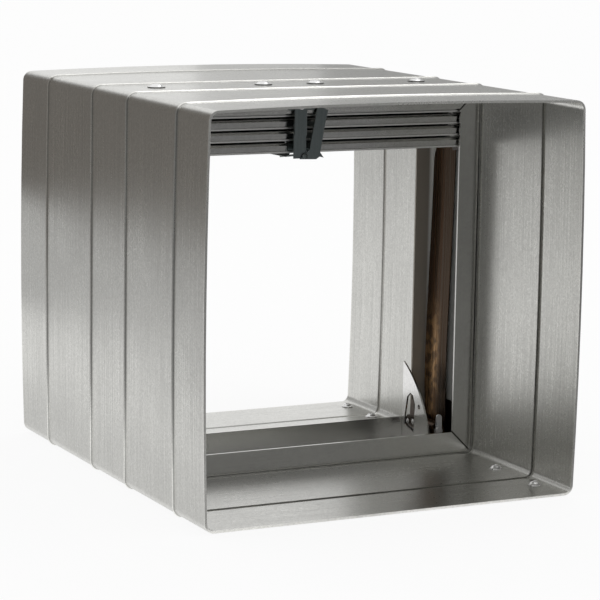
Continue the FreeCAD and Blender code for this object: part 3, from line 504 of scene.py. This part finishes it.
# %% [markdown]
# ## A finish for every solid
# The names of the solids say what each one is, so its finish follows from its name. Picking a
# finish for each by hand would also work, but 45 picks are easily mixed up.

# %% Give every solid its finish
def finish_for(node):
    if "rivet" in node or node == "link_stud" or node.startswith("reel_pin"):
        return "rivet"
    if node == "casing":
        return "casing"
    if node in ("frame_bottom", "frame_top", "curtain_hanger"):
        return "frame_across"
    if node.startswith("frame_"):
        return "frame"
    if "blade" in node:
        return "blade"
    if node.startswith(("strap", "link_")):
        return "strap"
    if node.startswith("spring_strip"):
        return "strip"
    if node.startswith("spring_coil"):
        return "coil"
    # Corner cleats get the dark finish as painted shade; strip clips share it.
    if node.startswith(("corner_cleat", "strip_clip")):
        return "dark"
    if node.startswith("reel_bracket"):
        return "bracket"
    if node.startswith("lock_leaf"):
        return "leaf"
    return "fitting"


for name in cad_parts:
    solid = bpy.data.objects[name]
    solid.data.materials.clear()
    solid.data.materials.append(finishes[finish_for(name)])
print("dressed", len(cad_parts), "solids")

# %% [markdown]
# ## Rivet heads
# The frame is held to the casing by blind rivets, and smaller ones hold the fittings. Seen close
# up, such a head is a thin round collar with a dome on it and a dimple where the pin broke off.
# A squashed ball would miss the collar, so one head is raised from a disc by insets, each a
# little higher than the last until the dimple goes down again, and copied to every place with a
# mesh of its own. The collar's outer faces take a dark finish of painted shade, except on the
# floor rivets.

# %% One rivet head
HEAD_SIDES = 32
COLLAR, COLLAR_REACH = 0.22, 0.94
HEAD_STEPS = ((0.05, 0.06), (0.2, 0.1), (0.12, 0.34), (0.17, 0.24),
              (0.14, 0.04), (0.08, -0.3), (0.1, -0.04))
UPWARD = 0.9
SOFT_BELOW = math.radians(50)


def rivet_head(radius, rise, finish, collar_finish):
    """A head that stands on the floor of its own space and points up."""
    bpy.ops.object.select_all(action="DESELECT")
    collar = rise * COLLAR
    bpy.ops.mesh.primitive_cylinder_add(vertices=HEAD_SIDES, radius=radius, depth=collar,
                                        location=(0, 0, collar / 2))
    head = bpy.context.object
    bpy.ops.object.transform_apply(location=True, rotation=True, scale=True)
    top = [face.index for face in head.data.polygons if face.normal.z > UPWARD]
    bpy.ops.object.mode_set(mode="EDIT")
    bpy.ops.mesh.select_mode(type="FACE")
    bpy.ops.mesh.select_all(action="DESELECT")
    bpy.ops.object.mode_set(mode="OBJECT")
    for index in top:
        head.data.polygons[index].select = True
    bpy.ops.object.mode_set(mode="EDIT")
    for inward, up in HEAD_STEPS:
        bpy.ops.mesh.inset(thickness=radius * inward, depth=rise * up, use_even_offset=True)
    bpy.ops.mesh.poke()
    bpy.ops.object.mode_set(mode="OBJECT")
    bpy.ops.object.shade_smooth_by_angle(angle=SOFT_BELOW)
    head.data.materials.append(finishes[finish])
    head.data.materials.append(finishes[collar_finish])
    # Faces beyond the collar's reach take the collar finish, which is painted shade on most
    # heads.
    for face in head.data.polygons:
        face.material_index = int(face.center.xy.length > radius * COLLAR_REACH)
    return head


def rivets(name, node, body, radius, rise, places, facing, finish="rivet",
           collar_finish="collar"):
    """Copies of one head at each place, turned from up to the way they face."""
    model = rivet_head(radius, rise, finish, collar_finish)
    turn = mathutils.Vector((0, 0, 1)).rotation_difference(mathutils.Vector(facing))
    turned = turn.to_matrix().to_4x4()
    for number, place in enumerate(places, 1):
        piece = model.copy()
        piece.data = model.data.copy()
        piece.name = f"{name}_{number}"
        bpy.context.collection.objects.link(piece)
        piece.data.transform(mathutils.Matrix.Translation(place) @ turned)
        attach(piece, body)
        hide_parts(node)
    bpy.data.objects.remove(model)
    print(name, len(places), "heads of", round(radius * 2000, 1), "mm")


# %% Rivets on the roof and the floor
ROOF_RADIUS, ROOF_RISE, ROOF_LINE = 0.0046, 0.0017, 0.0018
ROOF_RIVETS = ((-0.075, 0.20097), (-0.015, 0.20114), (0.015, 0.20114), (0.075, 0.20097))
FLOOR_RADIUS, FLOOR_RISE = 0.0034, 0.0019
FLOOR_LINE, FLOOR_TOP = 0.093, 0.002
FLOOR_RIVETS = (-0.101, -0.062, 0.078, 0.108)

rivets("frame_top_rivet", "frame_top_rivets", "housing", ROOF_RADIUS, ROOF_RISE,
       [(x, ROOF_LINE, z) for x, z in ROOF_RIVETS], (0, 0, 1))
rivets("casing_seam_rivet", "casing_seam_rivets", "housing", FLOOR_RADIUS, FLOOR_RISE,
       [(FLOOR_LINE, y, FLOOR_TOP) for y in FLOOR_RIVETS], (0, 0, 1), collar_finish="rivet")

# %% Small rivets on the link and the leaves
SMALL_RADIUS, SMALL_RISE = 0.0015, 0.0008
BRACKET_RIVETS = ((-0.0096, -0.0228, 0.1955), (0.0001, -0.0228, 0.1955))
STRAP_RIVET = (-0.0034, -0.0246, 0.1663)
LEAF_FACE, LEAF_RIVETS = 0.0849, ((0.0141, 0.0125), (0.02, 0.0118))

rivets("link_bracket_rivet", "link_bracket_rivets", "housing", SMALL_RADIUS, SMALL_RISE,
       BRACKET_RIVETS, (0, -1, 0))
rivets("strap_head_rivet", "strap_rivet", "strap", SMALL_RADIUS, SMALL_RISE,
       [STRAP_RIVET], (0, -1, 0), "strap")
for side, sign in (("right", 1), ("left", -1)):
    rivets(f"leaf_rivet_{side}", f"leaf_rivets_{side}", f"lock_leaf_{side}", SMALL_RADIUS,
           SMALL_RISE, [(sign * LEAF_FACE, y, z) for y, z in LEAF_RIVETS], (-sign, 0, 0))

# %% [markdown]
# ## Spring strips
# Each strip is drawn up out of its reel by the bottom blade. It is a thin ribbon that leans out
# towards its top, bows a little on its way, is faintly hollow across its width and has rounded
# corners at its free end. A box would be stiff and flat, so the strip starts as a grid: rows are
# moved for the bow, columns for the hollow, the two top corners are cut back to curves, and the
# sheet is thickened.

# %% A bowed strip
STRIP_LOW, STRIP_HIGH = 0.0105, 0.1671
STRIP_FRONT, STRIP_REAR = -0.0025, 0.0205
STRIP_FOOT, STRIP_LEAN = 0.0957, 0.0021
STRIP_SHEET = 0.0003
SETBACK, SETBACK_LEVEL = 0.0028, 0.35
HOLLOW = 0.00035
ROWS, COLUMNS = 32, 8
REAR_CORNER, FRONT_CORNER = 0.011, 0.003
CORNER_CUTS = (15, 30, 45, 60, 75)
SMOOTH_BELOW = math.radians(40)
NEAR = 1e-5


def move_points(piece, chosen, value):
    """Select the points that the test picks, and move them in edit mode."""
    bpy.ops.object.mode_set(mode="EDIT")
    bpy.ops.mesh.select_mode(type="VERT")
    bpy.ops.mesh.select_all(action="DESELECT")
    bpy.ops.object.mode_set(mode="OBJECT")
    for vertex in piece.data.vertices:
        vertex.select = chosen(vertex.co)
    bpy.ops.object.mode_set(mode="EDIT")
    bpy.ops.transform.translate(value=value)
    bpy.ops.object.mode_set(mode="OBJECT")


def face_outwards(piece):
    """Turn every face's normal out of the closed piece."""
    bpy.context.view_layer.objects.active = piece
    bpy.ops.object.mode_set(mode="EDIT")
    bpy.ops.mesh.select_all(action="SELECT")
    bpy.ops.mesh.normals_make_consistent(inside=False)
    bpy.ops.object.mode_set(mode="OBJECT")


def thicken(piece, sheet, offset):
    """Give the surface its sheet, centred at offset 0 and behind the surface at -1."""
    modifier = piece.modifiers.new("sheet", "SOLIDIFY")
    modifier.thickness = sheet
    modifier.offset = offset
    bpy.ops.object.modifier_apply(modifier=modifier.name)


def round_corner(y, radius, outward):
    """Cut the sheet's top corner back to a curve by a few slanting cuts."""
    for angle in CORNER_CUTS:
        tilt = math.radians(angle)
        normal = (0, outward * math.cos(tilt), math.sin(tilt))
        centre = (0, y - outward * radius, STRIP_HIGH - radius)
        touch = tuple(c + radius * n for c, n in zip(centre, normal))
        bpy.ops.object.mode_set(mode="EDIT")
        bpy.ops.mesh.select_all(action="SELECT")
        bpy.ops.mesh.bisect(plane_co=touch, plane_no=normal, clear_outer=True)
        bpy.ops.object.mode_set(mode="OBJECT")


def spring_strip(side, sign):
    bpy.ops.object.select_all(action="DESELECT")
    height, width = STRIP_HIGH - STRIP_LOW, STRIP_REAR - STRIP_FRONT
    middle = ((STRIP_FOOT + STRIP_SHEET) * sign, (STRIP_REAR + STRIP_FRONT) / 2,
              (STRIP_HIGH + STRIP_LOW) / 2)
    bpy.ops.mesh.primitive_grid_add(x_subdivisions=ROWS, y_subdivisions=COLUMNS, size=1.0,
                                    location=middle, rotation=(0, math.pi / 2, 0))
    strip = bpy.context.object
    strip.name = f"wound_strip_{side}"
    strip.scale = (height, width, 1)
    bpy.ops.object.transform_apply(location=True, rotation=True, scale=True)
    for column in range(COLUMNS + 1):
        across = 2 * column / COLUMNS - 1
        y = STRIP_FRONT + width * column / COLUMNS
        hollow = HOLLOW * (1 - across * across)
        move_points(strip, lambda place: abs(place.y - y) < NEAR, (-sign * hollow, 0, 0))
    for row in range(ROWS + 1):
        level = row / ROWS
        z = STRIP_LOW + height * level
        lean = STRIP_LEAN * level * level * (3 - 2 * level)
        bow = math.sin(math.pi * min(level / SETBACK_LEVEL, 1.0) / 2)
        setback = SETBACK * bow * (1 - level)
        move_points(strip, lambda place: abs(place.z - z) < NEAR, (sign * lean, setback, 0))
    round_corner(STRIP_REAR, REAR_CORNER, 1)
    round_corner(STRIP_FRONT, FRONT_CORNER, -1)
    thicken(strip, STRIP_SHEET, 0.0)
    face_outwards(strip)
    bpy.ops.object.shade_smooth_by_angle(angle=SMOOTH_BELOW)
    strip.data.materials.clear()
    strip.data.materials.append(finishes["strip"])
    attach(strip, "housing")
    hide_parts(f"spring_strip_{side}")
    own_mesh(strip)
    print(strip.name, len(strip.data.vertices), "points")


for side, sign in (("right", 1), ("left", -1)):
    spring_strip(side, sign)

# %% [markdown]
# ## Hems under the blade fronts
# In the folded stack every second blade shows a flat front, and each front ends in a thin hem.
# Its finish is painted far lighter than the blade's as a painted highlight, so that it shows as
# one bright line above the dark gap. The hem is a narrow strip of sheet: a plane as long as the
# blade, thickened and rounded. One is made and copied three times, and each copy rides its own
# blade.

# %% Sheet cut from a plane
def upright_plane(place, width, height):
    """A plane on edge that faces the front."""
    bpy.ops.object.select_all(action="DESELECT")
    bpy.ops.mesh.primitive_plane_add(size=1.0, location=place, rotation=(math.pi / 2, 0, 0))
    piece = bpy.context.object
    piece.scale = (width, height, 1)
    bpy.ops.object.transform_apply(location=True, rotation=True, scale=True)
    return piece


def round_edges(piece, width, segments):
    modifier = piece.modifiers.new("edges", "BEVEL")
    modifier.width = width
    modifier.segments = segments
    bpy.ops.object.modifier_apply(modifier=modifier.name)


print("plane helpers ready")

# %% Bright hems
HEM_LEVELS = {"blade_2": 0.1871, "blade_4": 0.1809, "blade_6": 0.1747, "blade_8": 0.1685}
HEM_DROP, HEM_TALL, HEM_SHEET, HEM_FACE = 0.0004, 0.00104, 0.0006, -0.0193
HEM_SHORTER = 0.001
HEM_ROUND = 0.4

low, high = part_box("blade_2")
hem_model = upright_plane(((low.x + high.x) / 2, HEM_FACE, HEM_LEVELS["blade_2"] - HEM_DROP),
                          high.x - low.x - HEM_SHORTER, HEM_TALL)
thicken(hem_model, HEM_SHEET, 0.0)
round_edges(hem_model, HEM_SHEET * HEM_ROUND, 3)
face_outwards(hem_model)
# The hem's finish is a painted highlight.
hem_model.data.materials.clear()
hem_model.data.materials.append(finishes["hem"])
for number, (blade, level) in enumerate(HEM_LEVELS.items()):
    hem = hem_model
    if number:
        hem = hem_model.copy()
        hem.data = hem_model.data.copy()
        bpy.context.collection.objects.link(hem)
        bpy.ops.object.select_all(action="DESELECT")
        hem.select_set(True)
        bpy.context.view_layer.objects.active = hem
        hem.location = (0, 0, level - HEM_LEVELS["blade_2"])
        bpy.ops.object.transform_apply(location=True, rotation=False, scale=False)
    hem.name = blade + "_hem"
    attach(hem, blade)
    print(hem.name, len(hem.data.vertices), "points")

# %% [markdown]
# ## Tongue beside the strap
# Left of the strap a slender pointed tongue of sheet hangs at the foot, just under the stack.
# It lies in the middle of the foot's depth, behind the last blade's hook, which swings past it.
# It is a flap with no thickness of its own, so it starts as a plane that is narrowed to a point
# by moving its corners, is cut across once, and then gets its sheet.

# %% A pointed tongue
TONGUE_TIP, TONGUE_ROOT = -0.0235, -0.0055
TONGUE_TOP, TONGUE_LOW = 0.1684, 0.1642
TONGUE_SHEET = 0.0007
TIP_LIFT, ROOT_BEND = 0.9, 0.0008
CUT_INSET, CUT_FACING = 0.003, (0.55, 0, -0.83)

foot_low, foot_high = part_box("strap_foot")
tongue_place = (foot_low.y + foot_high.y) / 2
length, drop = TONGUE_ROOT - TONGUE_TIP, TONGUE_TOP - TONGUE_LOW
tongue = upright_plane(((TONGUE_ROOT + TONGUE_TIP) / 2, tongue_place,
                        (TONGUE_TOP + TONGUE_LOW) / 2), length, drop)
tongue.name = "bottom_blade_tongue"
move_points(tongue, lambda place: place.x < TONGUE_TIP + NEAR and place.z < TONGUE_LOW + NEAR,
            (0, 0, drop * TIP_LIFT))
move_points(tongue, lambda place: place.x > TONGUE_ROOT - NEAR and place.z < TONGUE_LOW + NEAR,
            (0, -ROOT_BEND, 0))
bpy.ops.object.mode_set(mode="EDIT")
bpy.ops.mesh.select_all(action="SELECT")
bpy.ops.mesh.bisect(plane_co=(TONGUE_ROOT - CUT_INSET, 0, TONGUE_LOW), plane_no=CUT_FACING,
                    clear_outer=True)
bpy.ops.object.mode_set(mode="OBJECT")
thicken(tongue, TONGUE_SHEET, -1.0)
round_edges(tongue, TONGUE_SHEET / 4, 2)
face_outwards(tongue)
tongue.data.materials.clear()
tongue.data.materials.append(finishes["blade"])
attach(tongue, "bottom_blade")
print(tongue.name, len(tongue.data.vertices), "points")

# %% [markdown]
# ## Floor and light
# Bare metal shows what stands round it, so a photographer dresses the room as well as the object.
# The room here is a white tent that the camera and the metal both see. Grey cards that only the
# metal sees stand round it. A pair behind on the left darkens the upper half of the left wall
# in two steps, and a pair behind on the right does the same across the roof. The others
# stand and lie on every side, each for the faces that look its way. A dimmer floor would grey
# the whole picture, so the floor stays white. One weak soft lamp hangs high behind on the right.

# %% Shader that turns white for the camera and the metal
def white_for_reflections(tree, base, share, place):
    """The base shader, mixed with plain white by the share for rays that show a background."""
    x, y = place
    seen = add_node(tree, "ShaderNodeLightPath", (x - 600, y + 300))
    direct = calc(tree, "MAXIMUM", (x - 400, y + 300),
                  seen.outputs["Is Camera Ray"], seen.outputs["Is Glossy Ray"])
    shown = calc(tree, "MAXIMUM", (x - 220, y + 300), direct, seen.outputs["Is Transmission Ray"])
    white = add_node(tree, "ShaderNodeEmission", (x - 60, y - 150))
    set_inputs(white, {"Color": (1, 1, 1, 1), "Strength": 1.0})
    choice = add_node(tree, "ShaderNodeMixShader", (x, y))
    join(tree,
         (calc(tree, "MULTIPLY", (x - 60, y + 300), shown, share), choice.inputs["Fac"]),
         (base, choice.inputs[1]),
         (white.outputs[0], choice.inputs[2]))
    return choice.outputs[0]


print("shader for white surroundings ready")

# %% Floor
FLOOR_WHITE, FLOOR_GLOW = 0.9, 0.9
FLOOR_SIZE, FLOOR_LEVEL = 30.0, -0.0002

bpy.ops.object.select_all(action="DESELECT")
bpy.ops.mesh.primitive_plane_add(size=FLOOR_SIZE, location=(0, 0, FLOOR_LEVEL))
floor = bpy.context.object
floor.name = "floor"
floor_paint = bpy.data.materials.new("floor_paint")
floor_paint.use_nodes = True
tree = floor_paint.node_tree
paint = tree.nodes["Principled BSDF"]
set_inputs(paint, {"Base Color": (FLOOR_WHITE, FLOOR_WHITE, FLOOR_WHITE, 1),
                   "Roughness": 0.9, "Specular IOR Level": 0.1})
join(tree, (white_for_reflections(tree, paint.outputs["BSDF"], FLOOR_GLOW, (300, 0)),
            tree.nodes["Material Output"].inputs["Surface"]))
floor.data.materials.append(floor_paint)
print("floor of", FLOOR_WHITE, "with a glow of", FLOOR_GLOW)

# %% Room
ROOM_LIGHT = 0.9

world = bpy.data.worlds.new("room")
bpy.context.scene.world = world
world.use_nodes = True
tree = world.node_tree
tree.nodes.clear()
fill = add_node(tree, "ShaderNodeBackground", (-250, 200))
set_inputs(fill, {"Color": (1, 1, 1, 1), "Strength": ROOM_LIGHT})
leave = add_node(tree, "ShaderNodeOutputWorld", (400, 100))
join(tree, (white_for_reflections(tree, fill.outputs[0], 1.0, (200, 100)),
            leave.inputs["Surface"]))
print("room light", ROOM_LIGHT)

# %% Cards that only reflections show
WARM, WHITE = (1.0, 0.93, 0.86), (1.0, 1.0, 1.0)
FLAT, UPRIGHT, SWUNG = (0, 0, 0), (math.pi / 2, 0, 0), (math.pi / 2, -0.31, 0)


def hidden_card(name, place, turn, size, glow, tint=WHITE):
    bpy.ops.object.select_all(action="DESELECT")
    bpy.ops.mesh.primitive_plane_add(size=1.0, location=place, rotation=turn)
    board = bpy.context.object
    board.name = name
    board.scale = (size[0], size[1], 1)
    paper = bpy.data.materials.new(name)
    paper.use_nodes = True
    paper.node_tree.nodes.clear()
    glowing = add_node(paper.node_tree, "ShaderNodeEmission", (0, 0))
    set_inputs(glowing, {"Color": (*tint, 1), "Strength": glow})
    surface = add_node(paper.node_tree, "ShaderNodeOutputMaterial", (200, 0))
    join(paper.node_tree, (glowing.outputs[0], surface.inputs["Surface"]))
    board.data.materials.append(paper)
    board.visible_camera = False
    board.visible_diffuse = False
    board.visible_shadow = False


def standing_card(name, bearing, distance, bottom, width, height, glow):
    """A card on edge that faces the damper, at a bearing in degrees clockwise from the rear."""
    angle = math.radians(bearing)
    place = (math.sin(angle) * distance, math.cos(angle) * distance, bottom + height / 2)
    hidden_card(name, place, (math.pi / 2, 0, -angle), (width, height), glow)


hidden_card("card_left_near", (-0.4335, 0.22, 0.342), SWUNG, (0.54, 0.6), 0.19, WARM)
hidden_card("card_left_half", (-0.332, 0.22, 0.0255), SWUNG, (0.54, 0.065), 0.62)
hidden_card("card_roof_near", (0.47, 0.3, 0.404), UPRIGHT, (0.6, 0.4), 0.38)
hidden_card("card_roof_half", (0.125, 0.3, 0.404), UPRIGHT, (0.09, 0.4), 0.65)
standing_card("card_rear", -28, 1.2, 0.0, 1.1, 0.9, 0.48)
standing_card("card_left", -86, 0.9, 0.0, 1.1, 1.0, 0.12)
hidden_card("card_floor_left", (-0.6, 0.0, 0.001), FLAT, (0.7, 0.52), 0.3)
standing_card("card_front_right", 148, 0.72, 0.0, 0.9, 0.11, 0.08)
standing_card("card_front_right_high", 148, 0.74, 0.11, 0.9, 0.8, 0.3)
standing_card("card_front", 208, 0.8, 0.0, 0.75, 0.12, 0.05)
standing_card("card_front_high", 208, 0.82, 0.12, 0.75, 0.9, 0.5)
standing_card("card_right", 85, 1.0, 0.0, 1.0, 0.9, 0.3)
hidden_card("card_floor_front", (0.5, -0.585, 0.001), FLAT, (0.96, 0.91), 0.26)
hidden_card("card_floor_front_left", (-0.18, -0.585, 0.001), FLAT, (0.4, 0.91), 0.36)
hidden_card("card_floor_near_left", (-0.13, 0.02, 0.001), FLAT, (0.05, 0.5), 0.8)

# %% Lamp
LAMP_PLACE, LAMP_TARGET = mathutils.Vector((0.6, 0.65, 1.3)), mathutils.Vector((0, 0, 0.15))
LAMP_SIDE, LAMP_POWER = 0.4, 0.9

lamp = bpy.data.lights.new("overhead", "AREA")
lamp.shape = "RECTANGLE"
lamp.size, lamp.size_y, lamp.energy = LAMP_SIDE, LAMP_SIDE, LAMP_POWER
holder = bpy.data.objects.new("overhead", lamp)
bpy.context.collection.objects.link(holder)
holder.location = LAMP_PLACE
holder.rotation_euler = (LAMP_TARGET - LAMP_PLACE).to_track_quat("-Z", "Y").to_euler()

# %% View settings
bpy.context.scene.view_settings.view_transform = "Standard"
